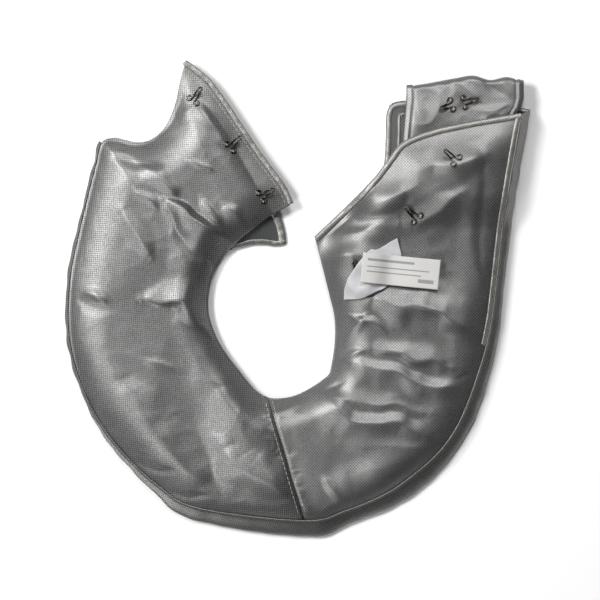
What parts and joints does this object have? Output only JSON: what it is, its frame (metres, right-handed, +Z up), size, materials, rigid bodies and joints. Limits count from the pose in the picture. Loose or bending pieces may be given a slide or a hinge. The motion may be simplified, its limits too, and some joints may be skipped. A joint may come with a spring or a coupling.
{
  "type": "turbo heat blanket",
  "caption": "Quilted horseshoe heat blanket for a turbocharger's turbine housing: silver glass-cloth pads with felt cores, a folded neck flap and wire lacing hooks.",
  "frame": {"origin": "middle of the footprint, on the surface the blanket lies on", "axes": "+Z up out of the front pad, +Y towards the two open ends, +X towards the end with the neck flap"},
  "size_m": [0.4611, 0.4713, 0.0444],
  "materials": {
    "silver_cloth": "woven glass cloth with a satin silver coating",
    "needle_felt": "needled glass felt",
    "wire_liner": "knitted stainless wire over dark cloth",
    "hook_wire": "drawn stainless wire, heat tinted",
    "label_paper": "matte paper",
    "white_tape": "white film tape, torn"
  },
  "bodies": {
    "root": {"back_cloth_left": "silver_cloth", "back_cloth_right": "silver_cloth", "back_felt_left": "needle_felt", "back_felt_right": "needle_felt", "back_liner_left": "wire_liner", "back_liner_right": "wire_liner", "front_cloth_left": "silver_cloth", "front_cloth_right": "silver_cloth", "front_felt_left": "needle_felt", "front_felt_right": "needle_felt", "front_liner_left": "wire_liner", "front_liner_right": "wire_liner", "rim_cloth": "silver_cloth", "rim_felt": "needle_felt", "flap_cloth": "silver_cloth", "flap_felt": "needle_felt", "flap_liner": "wire_liner", "left_hook_1": "hook_wire", "left_hook_2": "hook_wire", "left_hook_3": "hook_wire", "right_hook_1": "hook_wire", "right_hook_2": "hook_wire", "right_hook_3": "hook_wire", "flap_hook_1": "hook_wire", "flap_hook_2": "hook_wire", "paper_label": "label_paper", "label_tape": "white_tape"}
  },
  "joints": []
}
